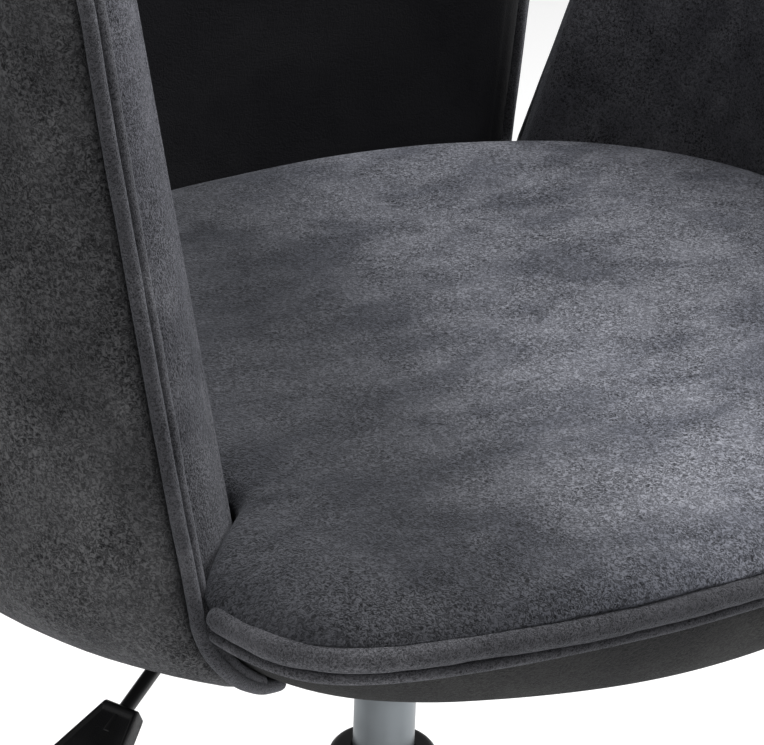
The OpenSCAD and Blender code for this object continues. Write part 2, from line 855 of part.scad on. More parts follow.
module lift_piston() {
    color(zinc)
        sleeve(piston_low, piston_height, cylinder_d / 2 - cylinder_wall - run_gap,
                rod_d / 2 - 1 + run_gap);
}

module lift_rod() {
    rod_low = tube_low - clip_height - 3;
    color(zinc)
        difference() {
            union() {
                translate([0, 0, rod_low])
                    cylinder(h = piston_low - rod_low, r = rod_d / 2, $fn = round_fn);
                translate([0, 0, piston_low])
                    cylinder(h = piston_height + 2, r = rod_d / 2 - 1, $fn = round_fn);
            }
            sleeve(tube_low - clip_height - lie_gap, clip_height, rod_d, rod_d / 2 - 1);
        }
}

module lift_retaining_clip() {
    color(steel_black)
        sleeve(tube_low - clip_height - lie_gap + 0.1, clip_height - 0.2, rod_d / 2 + 4,
            rod_d / 2 - 1 + run_gap);
}

bearing_low = tube_low + tube_floor + 0.1;
module lift_thrust_bearing() {
    color(zinc)
        sleeve(bearing_low, bearing_height, rod_d + 5, rod_d / 2 + run_gap);
}

module lift_bump_stop() {
    color(nylon_black)
        sleeve(bearing_low + bearing_height, stop_height, rod_d + 3, rod_d / 2 + run_gap);
}

// The valve's release pin, with a round head just under the lever
module lift_valve_pin() {
    head_top = lever_z - lever_d / 2 - lie_gap;
    head_r = 2;
    length = 30;
    color(zinc)
        union() {
            translate([0, 0, cylinder_top - length])
                cylinder(h = length + 0.5, r = pin_d / 2, $fn = small_fn);
            translate([0, 0, cylinder_top])
                cylinder(h = head_top - head_r - cylinder_top, r = head_r, $fn = small_fn);
            translate([0, 0, head_top - head_r])
                sphere(r = head_r, $fn = small_fn);
        }
}

// ---- Five-star base ----

leg_count = 5;
first_leg = 90;
function leg_direction(i) = first_leg + 360 / leg_count * i;
caster_top = wheel_d + 12;
leg_low = caster_top + 1.5;
hub_r = tube_d / 2 + 12;
hub_top = leg_low + 62;
tip_top = leg_low + 30;
tip_r = stem_d / 2 + 10;
leg_root_half = 25;
leg_shell = 4;
stem_top = leg_low + 24;

// A leg along +X: a side profile crossed with a plan taper
module leg_solid(inset) {
    intersection() {
        translate([0, leg_root_half, 0])
            rotate([90, 0, 0])
                linear_extrude(2 * leg_root_half)
                    polygon([
                        [0, leg_low - 3 - 2 * inset], [0, hub_top - 6 - inset],
                        [hub_r + 14, hub_top - 14 - inset], [caster_reach, tip_top - inset],
                        [caster_reach, leg_low - 2 * inset]
                    ]);
        translate([0, 0, leg_low - 20])
            linear_extrude(hub_top)
                polygon([
                    [0, -leg_root_half + inset], [caster_reach, -tip_r + inset],
                    [caster_reach, tip_r - inset], [0, leg_root_half - inset]
                ]);
    }
}

module star_base() {
    color(nylon_black)
        difference() {
            union() {
                translate([0, 0, leg_low - 3])
                    cylinder(h = hub_top - leg_low + 3, r = hub_r, $fn = round_fn);
                for (i = [0:leg_count - 1])
                    rotate([0, 0, leg_direction(i)])
                        difference() {
                            union() {
                                leg_solid(0);
                                translate([caster_reach, 0, leg_low])
                                    cylinder(h = tip_top - leg_low, r = tip_r, $fn = round_fn);
                            }
                            difference() {
                                leg_solid(leg_shell);
                                cylinder(h = 2 * hub_top, r = hub_r + 2, $fn = round_fn);
                                translate([caster_reach, 0, 0])
                                    cylinder(h = hub_top, r = tip_r, $fn = round_fn);
                            }
                        }
            }
            translate([0, 0, leg_low - 20])
                cylinder(h = hub_top, r = tube_d / 2 + run_gap, $fn = round_fn);
            for (i = [0:leg_count - 1])
                rotate([0, 0, leg_direction(i)])
                    translate([caster_reach, 0, leg_low - 4])
                        cylinder(h = stem_top - leg_low + 5, r = stem_d / 2 + run_gap, $fn = small_fn);
        }
}

// ---- Casters. All trail to the rear, as after a push forwards. ----

wheel_r = wheel_d / 2;
web = 6;
wheel_start = web / 2 + 0.6;
axle_d = 8;
hood_gap = 2;
hood_wall = 3;
hood_half = wheel_start + wheel_width + 1;

// Puts its children at a caster's stem, with +X towards the trailing axle
module at_caster(i) {
    rotate([0, 0, leg_direction(i)])
        translate([caster_reach, 0, 0])
            rotate([0, 0, 90 - leg_direction(i)])
                children();
}

module on_axle() {
    translate([caster_trail, 0, wheel_r])
        rotate([90, 0, 0])
            children();
}

module caster_housing(i) {
    color(nylon_black)
        at_caster(i)
            difference() {
                union() {
                    on_axle()
                        translate([0, 0, -web / 2])
                            cylinder(h = web, r = wheel_r - 2, $fn = round_fn);
                    difference() {
                        on_axle()
                            translate([0, 0, -hood_half])
                                cylinder(h = 2 * hood_half, r = wheel_r + hood_gap + hood_wall,
                                $fn = round_fn);
                        on_axle()
                            translate([0, 0, web / 2])
                                cylinder(h = 2 * hood_half, r = wheel_r + hood_gap, $fn = round_fn);
                        on_axle()
                            translate([0, 0, -2 * hood_half - web / 2])
                                cylinder(h = 2 * hood_half, r = wheel_r + hood_gap, $fn = round_fn);
                        translate([-wheel_d, -wheel_d, -wheel_d])
                            cube([3 * wheel_d, 2 * wheel_d, wheel_d + wheel_r + 5]);
                    }
                    translate([0, 0, wheel_r + 6])
                        difference() {
                            cylinder(h = caster_top - wheel_r - 6, r = stem_d / 2 + 4, $fn = round_fn);
                            translate([caster_trail, 0, -6])
                                rotate([90, 0, 0])
                                    cylinder(h = wheel_d, r = wheel_r + hood_gap, center = true,
                                            $fn = round_fn);
                        }
                }
                on_axle()
                    cylinder(h = 2 * wheel_d, r = axle_d / 2 + run_gap, center = true, $fn = small_fn);
                translate([0, 0, caster_top - 12])
                    cylinder(h = 20, r = stem_d / 2 + run_gap, $fn = small_fn);
            }
}

module caster_pins(i) {
    color(zinc)
        at_caster(i)
            union() {
                on_axle()
                    cylinder(h = 2 * (wheel_start + wheel_width) - 2, r = axle_d / 2, center = true,
                        $fn = small_fn);
                translate([0, 0, caster_top - 12])
                    cylinder(h = stem_top - caster_top + 12, r = stem_d / 2, $fn = small_fn);
            }
}

// A wheel with a rounded tread and a dished outer face; side is 1 on the sitter's left
module caster_wheel(i, side) {
    edge = 4;
    dish = 3;
    dish_r = wheel_r * 0.62;
    bore = axle_d / 2 + run_gap;
    color(nylon_black)
        at_caster(i)
            on_axle()
                mirror([0, 0, side > 0 ? 0 : 1])
                    translate([0, 0, wheel_start])
                        rotate_extrude($fn = round_fn)
                            polygon(concat(
                                [[bore, 0], [wheel_r - 1, 0], [wheel_r, 1]],
                                [for (t = [0:15:90]) [
                                    wheel_r - edge + edge * cos(t), wheel_width - edge + edge * sin(t)
                                ]],
                                [[dish_r + dish, wheel_width], [dish_r, wheel_width - dish]],
                                [[bore, wheel_width - dish]]
                            ));
}

module caster_1_housing() { caster_housing(0); }
module caster_2_housing() { caster_housing(1); }
module caster_3_housing() { caster_housing(2); }
module caster_4_housing() { caster_housing(3); }
module caster_5_housing() { caster_housing(4); }
module caster_1_pins() { caster_pins(0); }
module caster_2_pins() { caster_pins(1); }
module caster_3_pins() { caster_pins(2); }
module caster_4_pins() { caster_pins(3); }
module caster_5_pins() { caster_pins(4); }
module caster_1_left_wheel() { caster_wheel(0, 1); }
module caster_2_left_wheel() { caster_wheel(1, 1); }
module caster_3_left_wheel() { caster_wheel(2, 1); }
module caster_4_left_wheel() { caster_wheel(3, 1); }
module caster_5_left_wheel() { caster_wheel(4, 1); }
module caster_1_right_wheel() { caster_wheel(0, -1); }
module caster_2_right_wheel() { caster_wheel(1, -1); }
module caster_3_right_wheel() { caster_wheel(2, -1); }
module caster_4_right_wheel() { caster_wheel(3, -1); }
module caster_5_right_wheel() { caster_wheel(4, -1); }

star_base();
lift_outer_tube();
lift_guide_bush();
lift_cylinder();
lift_end_seal();
lift_piston();
lift_rod();
lift_bump_stop();
lift_thrust_bearing();
lift_retaining_clip();
lift_valve_pin();
seat_plate();
seat_plate_bolts();
tee_nuts();
lever_pivot_pin();
lever_rod();
lever_handle();
seat_board();
seat_cushion();
seat_lower_cover();
dust_cover();
seat_welt();
back_pad();
back_panel();
back_cover();
back_piping();
back_bracket();
right_arm_pad();
right_arm_panel();
right_arm_cover();
right_arm_piping();
right_arm_bracket();
left_arm_pad();
left_arm_panel();
left_arm_cover();
left_arm_piping();
left_arm_bracket();
bracket_screws();
caster_1_housing();
caster_1_pins();
caster_1_left_wheel();
caster_1_right_wheel();
caster_2_housing();
caster_2_pins();
caster_2_left_wheel();
caster_2_right_wheel();
caster_3_housing();
caster_3_pins();
caster_3_left_wheel();
caster_3_right_wheel();
caster_4_housing();
caster_4_pins();
caster_4_left_wheel();
caster_4_right_wheel();
caster_5_housing();
caster_5_pins();
caster_5_left_wheel();
caster_5_right_wheel();
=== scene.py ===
"""Upholstered swivel armchair: the looks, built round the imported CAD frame. Metres throughout."""

import json
import math

import bpy
import bmesh
from mathutils import Matrix, Quaternion, Vector, noise


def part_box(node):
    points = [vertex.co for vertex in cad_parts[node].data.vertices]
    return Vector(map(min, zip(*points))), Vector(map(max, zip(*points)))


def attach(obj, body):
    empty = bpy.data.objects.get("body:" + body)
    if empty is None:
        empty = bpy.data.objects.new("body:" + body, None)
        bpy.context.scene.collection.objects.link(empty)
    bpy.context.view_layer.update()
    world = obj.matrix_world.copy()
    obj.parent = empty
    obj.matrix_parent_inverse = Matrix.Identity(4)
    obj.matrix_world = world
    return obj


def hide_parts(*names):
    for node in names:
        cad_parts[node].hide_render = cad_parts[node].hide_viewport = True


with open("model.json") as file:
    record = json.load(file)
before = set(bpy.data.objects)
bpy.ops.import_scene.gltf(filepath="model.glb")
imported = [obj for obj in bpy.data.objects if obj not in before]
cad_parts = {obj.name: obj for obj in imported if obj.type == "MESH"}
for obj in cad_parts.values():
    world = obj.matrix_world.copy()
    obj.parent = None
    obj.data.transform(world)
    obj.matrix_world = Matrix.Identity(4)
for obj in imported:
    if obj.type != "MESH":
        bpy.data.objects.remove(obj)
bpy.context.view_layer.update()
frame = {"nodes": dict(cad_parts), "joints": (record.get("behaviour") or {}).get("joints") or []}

# ---- Driving sizes. Heights come from the frame; the plan repeats the CAD part's own sizes. ----

WELT_R = 0.0045
WELT_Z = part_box("seat_welt")[1].z - WELT_R
PLAN_AHEAD = 0.020
HALF_WIDTH = 0.228
SHELL_FRONT = 0.184
SHELL_REAR = 0.166
SHELL_POWER = 2.2
INNER_INSET = 0.014
SEAT_HALF_WIDTH = 0.214
SEAT_REACH = 0.266
FRONT_BOW = 0.570
CORNER_POWER = 15
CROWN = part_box("seat_cushion")[1].z - WELT_Z
SEAT_DEPTH = WELT_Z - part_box("seat_lower_cover")[0].z
UNDER_DEPTH = 0.050
THICKNESS = 0.064
TAPER = 0.09
PIPING_D = 0.0055
PIPING_CLEAR = 0.0002
ARM_FRONT = 55.5
GAP_ANGLE = 133.0
GAP_WIDTH = 0.0008
BULGE_SPAN = 0.300

SEAT = "seat_body"


def sind(a):
    return math.sin(math.radians(a))


def cosd(a):
    return math.cos(math.radians(a))


# ---- Plan curves. Angles run from straight ahead (-Y) towards the sitter's right (-X). ----

def plan_r(a):
    depth = SHELL_FRONT if cosd(a) > 0 else SHELL_REAR
    across = (abs(sind(a)) / HALF_WIDTH) ** SHELL_POWER
    along = (abs(cosd(a)) / depth) ** SHELL_POWER
    return (across + along) ** (-1 / SHELL_POWER)


def inner_r(a):
    return plan_r(a) - INNER_INSET


def seat_r(a):
    centre = FRONT_BOW - SEAT_REACH + PLAN_AHEAD
    bow = -centre * cosd(a) + math.sqrt(FRONT_BOW ** 2 - (centre * sind(a)) ** 2)
    side = SEAT_HALF_WIDTH / max(abs(sind(a)), 0.01)
    return (bow ** -CORNER_POWER + side ** -CORNER_POWER) ** (-1 / CORNER_POWER)


def arc_angle(length, a):
    return math.degrees(length / inner_r(a))


def at(a, r, z):
    """A point at a plan angle, radius and height above the welt."""
    return Vector((-r * sind(a), -PLAN_AHEAD - r * cosd(a), WELT_Z + z))


SEAT_FRONT = ARM_FRONT - arc_angle(PIPING_D + 3 * PIPING_CLEAR, ARM_FRONT)
HALF_GAP = arc_angle(GAP_WIDTH / 2 + PIPING_D + PIPING_CLEAR, GAP_ANGLE)


# ---- Petals: the arms and the back ----

ARM_FULLNESS = 0.95
FRONT_FULLNESS = 1.2
FRONT_SHARE = 0.45
BACK_FULLNESS = 1.1


class Petal:
    """A petal's outline in plan angle and height.

    An edge is (angle at the welt, degrees per metre of height, bulge in degrees). The sweep is how many
    degrees an arm's front edge runs forward as it turns under the seat.
    """

    def __init__(self, name, first, second, corner, flare, arch, sweep=0, mirrored=False):
        self.name = name
        self.first = first
        self.second = second
        self.corner = corner
        self.flare = flare
        self.arch = arch
        self.sweep = sweep
        self.mirrored = mirrored
        self.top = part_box(name + "_pad")[1].z - WELT_Z - arch

    def edge(self, edge, z):
        h = min(max(z, 0), BULGE_SPAN)
        return edge[0] + edge[1] * max(z, 0) + edge[2] * sind(180 * h / BULGE_SPAN)

    def corner_inset(self, z, margin):
        rise = z - (self.top - self.corner)
        r = self.corner + margin
        return 0 if rise <= 0 else r - math.sqrt(max(r * r - rise * rise, 0))

    def fullness(self, s):
        """How square the cover stays as it turns under, most at an arm's front."""
        return ARM_FULLNESS + FRONT_FULLNESS * max(1 - s / FRONT_SHARE, 0) if self.sweep else BACK_FULLNESS

    def radius(self, a, z, depth):
        return inner_r(a) + self.flare * max(z, 0) + depth * (1 - TAPER * max(z, 0) / THICKNESS)

    def point(self, s, z, depth, margin=0.0):
        """A share s of the way across, at a height and depth from the inner face, outline grown by margin."""
        reach = math.degrees((self.corner_inset(z, margin) - margin) / self.radius(GAP_ANGLE, z, 0))
        first = self.edge(self.first, z) - self.sweep * (max(-z, 0) / UNDER_DEPTH) ** 1.5
        second = self.edge(self.second, z)
        a = (first + reach) * (1 - s) + (second - reach) * s
        off_middle = (2 * a - first - second) / (second - first)
        lift = self.arch * max(1 - off_middle ** 2, 0) * (max(z, 0) / self.top) ** 2
        p = at(a, self.radius(a, z, depth), z + lift)
        return Vector((-p.x, p.y, p.z)) if self.mirrored else p

    def heights(self, foot, margin, straight, corner):
        shoulder = self.top - self.corner
        rows = [foot + (shoulder - foot) * j / straight for j in range(straight + 1)]
        return rows + [
            shoulder + (self.corner + margin) * sind(90 * j / corner) for j in range(1, corner + 1)
        ]


ARM_EDGES = ((ARM_FRONT, 45, 0), (GAP_ANGLE - HALF_GAP, -70, 0))
BACK_EDGES = ((GAP_ANGLE + HALF_GAP, 0, -1.5), (360 - GAP_ANGLE - HALF_GAP, 0, 1.5))
ARM_SHAPE = {"corner": 0.066, "flare": 0.04, "arch": 0.010, "sweep": 4.6}
RIGHT_ARM = Petal("right_arm", *ARM_EDGES, **ARM_SHAPE)
LEFT_ARM = Petal("left_arm", *ARM_EDGES, **ARM_SHAPE, mirrored=True)
BACK = Petal("back", *BACK_EDGES, corner=0.120, flare=0.2, arch=0.014)
PETALS = (RIGHT_ARM, LEFT_ARM, BACK)


def tucked(z, fullness):
    """How much of the thickness is left below the welt, where the cover turns under."""
    return max(1 - (abs(min(z, 0)) / UNDER_DEPTH) ** fullness, 0) ** (1 / fullness)


# ---- Mesh helpers ----

def new_object(name, points, faces):
    mesh = bpy.data.meshes.new(name)
    mesh.from_pydata([tuple(p) for p in points], [], faces)
    bm = bmesh.new()
    bm.from_mesh(mesh)
    bmesh.ops.recalc_face_normals(bm, faces=bm.faces)
    bm.to_mesh(mesh)
    bm.free()
    for polygon in mesh.polygons:
        polygon.use_smooth = True
    obj = bpy.data.objects.new(name, mesh)
    bpy.context.scene.collection.objects.link(obj)
    return obj


def finish_piece(obj, material, slot, body, *nodes, fill=None):
    obj.data.materials.append(material)
    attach(obj, body)
    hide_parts(*nodes)
    return obj


def apply_modifiers(obj):
    graph = bpy.context.evaluated_depsgraph_get()
    mesh = bpy.data.meshes.new_from_object(obj.evaluated_get(graph))
    obj.modifiers.clear()
    old = obj.data
    obj.data = mesh
    bpy.data.meshes.remove(old)
    for polygon in mesh.polygons:
        polygon.use_smooth = True


def wave(p, scale, seed):
    """Smooth noise from -1 to 1 at a point, with features about 1/scale metres wide."""
    return noise.noise(p * scale + Vector((seed, 2.3 * seed, -seed)))


def grid_solid(name, layers, rows, columns):
    """A closed solid from a stack of layers: the first and last are whole grids, and the rest only rims.
    Each layer is a function of (column share, row)."""
    rim = [(j, 0) for j in range(rows)] + [(rows - 1, i) for i in range(1, columns)]
    rim += [(j, columns - 1) for j in range(rows - 2, -1, -1)] + [(0, i) for i in range(columns - 2, 0, -1)]
    points = []
    faces = []
    rims = []
    for k, layer in enumerate(layers):
        start = len(points)
        if k in (0, len(layers) - 1):
            points += [layer(i / (columns - 1), j) for j in range(rows) for i in range(columns)]
            rims.append([start + j * columns + i for j, i in rim])
            for j in range(rows - 1):
                for i in range(columns - 1):
                    q = start + j * columns + i
                    faces.append((q, q + 1, q + columns + 1, q + columns))
        else:
            points += [layer(i / (columns - 1), j) for j, i in rim]
            rims.append(list(range(start, start + len(rim))))
    n = len(rim)
    for low, high in zip(rims, rims[1:]):
        for i in range(n):
            k = (i + 1) % n
            faces.append((low[i], low[k], high[k], high[i]))
    return new_object(name, points, faces)


def tube(path, radius, sides):
    """Points and faces of a round tube along a path. Its radius is a function of the share along it."""
    up = Vector((0, 0, 1))
    n = len(path)
    points = []
    side = None
    for i, p in enumerate(path):
        along = (path[min(i + 1, n - 1)] - path[max(i - 1, 0)]).normalized()
        if side is None:
            side = along.cross(up).normalized()
        side = (side - along * side.dot(along)).normalized()
        other = along.cross(side)
        r = radius(i / (n - 1))
        for k in range(sides):
            t = 2 * math.pi * k / sides
            points.append(p + r * (math.cos(t) * side + math.sin(t) * other))
    faces = []
    for i in range(n - 1):
        for k in range(sides):
            m = (k + 1) % sides
            faces.append((i * sides + k, i * sides + m, (i + 1) * sides + m, (i + 1) * sides + k))
    for end in (0, n - 1):
        points.append(path[end])
        for k in range(sides):
            faces.append((end * sides + k, end * sides + (k + 1) % sides, len(points) - 1))
    return points, faces


def merged(parts):
    points = []
    faces = []
    for more_points, more_faces in parts:
        start = len(points)
        points += more_points
        faces += [tuple(start + v for v in f) for f in more_faces]
    return points, faces


def domed(radius, length, dome):
    """A tube's radius that closes in a dome at each end."""
    def at_share(t):
        d = min(t, 1 - t) * length
        return radius * math.sqrt(max(1 - (1 - min(d / dome, 1)) ** 2, 0.0)) + 1e-5
    return at_share


def path_length(path):
    return sum((q - p).length for p, q in zip(path, path[1:]))


def smooth_path(points, steps):
    """A Catmull-Rom curve through points."""
    out = []
    n = len(points)
    for i in range(n - 1):
        a = points[max(i - 1, 0)]
        b = points[i]
        c = points[i + 1]
        d = points[min(i + 2, n - 1)]
        for k in range(steps):
            t = k / steps
            out.append(0.5 * (2 * b + (c - a) * t + (2 * a - 5 * b + 4 * c - d) * t * t
                              + (3 * b - a - 3 * c + d) * t ** 3))
    return out + [points[-1]]


# ---- Materials ----

class Shader:
    """Short spelling for building one material's nodes."""

    def __init__(self, name):
        self.material = bpy.data.materials.new(name)
        self.material.use_nodes = True
        self.tree = self.material.node_tree
        self.principled = self.tree.nodes["Principled BSDF"]
        self.coords = self.tree.nodes.new("ShaderNodeTexCoord").outputs["Object"]

    def set(self, **values):
        for key, value in values.items():
            self.principled.inputs[key.replace("_", " ")].default_value = value

    def link(self, a, b):
        self.tree.links.new(a, b)

    def noise(self, scale, detail=3.0, roughness=0.5, distortion=0.0, vector=None, colour=False):
        n = self.tree.nodes.new("ShaderNodeTexNoise")
        n.inputs["Scale"].default_value = scale
        n.inputs["Detail"].default_value = detail
        n.inputs["Roughness"].default_value = roughness
        n.inputs["Distortion"].default_value = distortion
        self.link(vector or self.coords, n.inputs["Vector"])
        return n.outputs["Color" if colour else "Fac"]

    def voronoi(self, scale, feature, vector=None, randomness=1.0):
        n = self.tree.nodes.new("ShaderNodeTexVoronoi")
        n.feature = feature
        n.inputs["Scale"].default_value = scale
        n.inputs["Randomness"].default_value = randomness
        self.link(vector or self.coords, n.inputs["Vector"])
        return n.outputs["Distance"]

    def ramp(self, value, low, high, to_low=0.0, to_high=1.0):
        n = self.tree.nodes.new("ShaderNodeMapRange")
        n.interpolation_type = "SMOOTHSTEP"
        n.inputs["From Min"].default_value = low
        n.inputs["From Max"].default_value = high
        n.inputs["To Min"].default_value = to_low
        n.inputs["To Max"].default_value = to_high
        self.link(value, n.inputs["Value"])
        return n.outputs["Result"]

    def math(self, operation, a, b):
        n = self.tree.nodes.new("ShaderNodeMath")
        n.operation = operation
        for socket, value in zip(n.inputs, (a, b)):
            if isinstance(value, (int, float)):
                socket.default_value = value
            else:
                self.link(value, socket)
        return n.outputs[0]

    def mix(self, factor, a, b, blend="MIX"):
        n = self.tree.nodes.new("ShaderNodeMix")
        n.data_type = "RGBA"
        n.blend_type = blend
        for socket, value in ((n.inputs[0], factor), (n.inputs[6], a), (n.inputs[7], b)):
            if isinstance(value, (int, float)):
                socket.default_value = value
            elif isinstance(value, tuple):
                socket.default_value = (*value, 1.0)
            else:
                self.link(value, socket)
        return n.outputs[2]

    def warped(self, scale, amount):
        """Coordinates pushed about by noise, so that cells don't look like a pattern."""
        shift = self.tree.nodes.new("ShaderNodeVectorMath")
        shift.operation = "MULTIPLY_ADD"
        shift.inputs[1].default_value = (amount, amount, amount)
        self.link(self.noise(scale, 2.0, colour=True), shift.inputs[0])
        self.link(self.coords, shift.inputs[2])
        return shift.outputs[0]

    def stretched(self, x, y, z):
        n = self.tree.nodes.new("ShaderNodeVectorMath")
        n.operation = "MULTIPLY"
        n.inputs[1].default_value = (x, y, z)
        self.link(self.coords, n.inputs[0])
        return n.outputs[0]

    def bump(self, height, distance, strength=1.0, after=None):
        n = self.tree.nodes.new("ShaderNodeBump")
        n.inputs["Strength"].default_value = strength
        n.inputs["Distance"].default_value = distance
        self.link(height, n.inputs["Height"])
        if after is not None:
            self.link(after, n.inputs["Normal"])
        return n.outputs["Normal"]

    def finish(self, colour=None, roughness=None, normal=None):
        for name, value in (("Base Color", colour), ("Roughness", roughness), ("Normal", normal)):
            if value is not None:
                self.link(value, self.principled.inputs[name])
        return self.material


def suede(name, dark, light, cell, grain_depth, sheen, contrast, painted_shading=None):
    """Brushed microfibre with a crackled, leather-like grain and a cloudy nap.

    The cell is the grain's width, the contrast is how dark its grooves are, and painted_shading, when given,
    is painted light and shade:
    a colour that brightens in one direction.
    """
    s = Shader(name)
    cloud = s.noise(7.0, 4.0, 0.55, 1.2, vector=s.stretched(1.0, 1.7, 1.0))
    mottle = s.noise(38.0, 5.0, 0.6, 0.6, vector=s.stretched(0.7, 1.2, 1.0))
    nap = s.math("ADD", s.math("MULTIPLY", cloud, 0.6), s.math("MULTIPLY", mottle, 0.4))
    base = s.mix(s.ramp(nap, 0.38, 0.62), dark, light)
    # Painted light and shade: the colour is multiplied up along a direction in object space.
    if painted_shading:
        direction, low, high, lift = painted_shading
        split = s.tree.nodes.new("ShaderNodeSeparateXYZ")
        s.link(s.coords, split.inputs[0])
        terms = [s.math("MULTIPLY", split.outputs[k], direction[k]) for k in range(3)]
        along = s.math("ADD", s.math("ADD", terms[0], terms[1]), terms[2])
        base = s.mix(s.ramp(along, low, high), base, s.mix(1.0, base, (lift,) * 3, "MULTIPLY"))
    warped = s.warped(0.45 / cell, cell * 1.5)
    edge = s.voronoi(1 / cell, "DISTANCE_TO_EDGE", warped)
    cells = s.ramp(edge, 0.06, 0.30)
    worms = s.ramp(s.noise(1.6 / cell, 1.0, 0.5, 1.4), 0.40, 0.60)
    worn = s.ramp(s.noise(45.0, 2.0), 0.35, 0.65, contrast * 0.75, contrast)
    creased = s.math("ADD", s.math("MULTIPLY", cells, 0.3), s.math("MULTIPLY", worms, 0.7))
    groove = s.math("MULTIPLY", worn, creased)
    fuzz = s.noise(2600.0, 2.0, 0.7)
    ridge_tint = (1.85, 1.85, 1.88)
    groove_tint = (0.16, 0.16, 0.17)
    fuzz_tint = (1.4, 1.4, 1.42)
    raised = s.mix(1.0, base, ridge_tint, "MULTIPLY")
    grooved = s.mix(groove, raised, s.mix(1.0, base, groove_tint, "MULTIPLY"))
    lifted = s.mix(1.0, grooved, fuzz_tint, "MULTIPLY")
    colour = s.mix(s.ramp(fuzz, 0.4, 0.65, 0.0, 0.6), grooved, lifted)
    crackle = s.bump(s.math("SUBTRACT", 1.0, groove), grain_depth, 1.0)
    normal = s.bump(fuzz, grain_depth * 0.4, 0.6, after=crackle)
    s.set(Roughness=0.88, Specular_IOR_Level=0.22, Sheen_Weight=sheen, Sheen_Roughness=0.45,
          Sheen_Tint=(0.74, 0.77, 0.86, 1.0))
    return s.finish(colour, None, normal)


def moulded_nylon(name, base, roughness):
    s = Shader(name)
    grain = s.voronoi(1700.0, "F1")
    handling = s.noise(40.0, 4.0, 0.6)
    colour = s.mix(s.ramp(handling, 0.4, 0.75), base, tuple(1.9 * c + 0.004 for c in base))
    rough = s.ramp(handling, 0.3, 0.7, roughness - 0.06, roughness + 0.1)
    s.set(Specular_IOR_Level=0.45)
    return s.finish(colour, rough, s.bump(grain, 0.00012, 0.5))


def powder_coat(name, base):
    s = Shader(name)
    peel = s.noise(900.0, 2.0)
    dust = s.noise(18.0, 4.0, 0.6)
    colour = s.mix(s.ramp(dust, 0.45, 0.8), base, tuple(2.2 * c + 0.005 for c in base))
    rough = s.ramp(dust, 0.3, 0.7, 0.32, 0.46)
    s.set(Metallic=0.0, Coat_Weight=0.15, Coat_Roughness=0.3)
    return s.finish(colour, rough, s.bump(peel, 0.0001, 0.5))


def turned_metal(name, base, roughness, lines):
    """Metal with fine turning or drawing lines round the vertical axis."""
    s = Shader(name)
    rings = s.noise(lines, 2.0, 0.6, vector=s.stretched(0.02, 0.02, 1.0))
    smear = s.noise(22.0, 3.0)
    colour = s.mix(s.ramp(smear, 0.35, 0.7), base, tuple(0.82 * c for c in base))
    rough = s.ramp(smear, 0.3, 0.7, roughness, roughness + 0.12)
    s.set(Metallic=1.0)
    return s.finish(colour, rough, s.bump(rings, 0.00004, 0.6))


def zinc_plate(name):
    s = Shader(name)
    flake = s.voronoi(260.0, "F1")
    stain = s.noise(70.0, 4.0)
    colour = s.mix(s.ramp(stain, 0.4, 0.7), (0.66, 0.67, 0.68), (0.52, 0.52, 0.50))
    rough = s.ramp(flake, 0.0, 0.8, 0.28, 0.45)
    s.set(Metallic=1.0)
    return s.finish(colour, rough, s.bump(stain, 0.00005, 0.4))


def bare_plywood(name):
    s = Shader(name)
    veins = s.noise(90.0, 5.0, 0.6, 1.5, vector=s.stretched(1.0, 0.08, 1.0))
    plies = s.noise(700.0, 1.0, vector=s.stretched(0.01, 0.01, 1.0))
    colour = s.mix(s.ramp(veins, 0.35, 0.7), (0.60, 0.42, 0.24), (0.42, 0.27, 0.14))
    colour = s.mix(s.ramp(plies, 0.45, 0.6, 0.0, 0.4), colour, (0.30, 0.19, 0.10))
    s.set(Roughness=0.7)
    return s.finish(colour, None, s.bump(veins, 0.0002, 0.5))


def non_woven(name):
    s = Shader(name)
    fibres = s.noise(1500.0, 3.0, 0.8, 2.0)
    pressed = s.voronoi(420.0, "F1", randomness=0.15)
    colour = s.mix(s.ramp(fibres, 0.35, 0.7), (0.012, 0.012, 0.013), (0.035, 0.035, 0.037))
    s.set(Roughness=0.95, Specular_IOR_Level=0.15)
    return s.finish(colour, None, s.bump(pressed, 0.0002, 0.6))


# A painted shading is (direction it brightens in, where that starts and ends along it, how many times
# brighter it gets): painted light and shade in the colour. On the seat it is painted shade towards the
# sitter's right (-X) and painted light towards the sitter's left (+X).
SEAT_PAINTED_SHADING = ((1.6, -0.5, 0), -0.13, 0.10, 3.9)
# Painted shade on the petal linings: darker low down near the seat, brighter towards the top.
WALL_PAINTED_SHADING = ((0, 0, 1), WELT_Z, WELT_Z + 0.26, 2.3)
CELL = 0.0022
SEAT_SUEDE = suede(
    "seat_suede", (0.022, 0.023, 0.027), (0.046, 0.047, 0.052), CELL, 0.0006, 0.20, 1.0, SEAT_PAINTED_SHADING)
OUTER_SUEDE = suede("outer_suede", (0.040, 0.040, 0.041), (0.082, 0.082, 0.083), CELL, 0.0006, 0.12, 1.0)
# Painted shade: the seat's underside is a much darker copy of the suede, standing in for the shade under the
# seat.
UNDER_SHADED_SUEDE = suede("under_suede_painted_shade", (0.012, 0.012, 0.012), (0.022, 0.022, 0.021), CELL, 0.0004, 0.03, 0.8)
LINING_SUEDE = suede(
    "lining_suede", (0.028, 0.028, 0.032), (0.062, 0.062, 0.067), CELL * 0.8, 0.0005, 0.22, 1.0, WALL_PAINTED_SHADING)
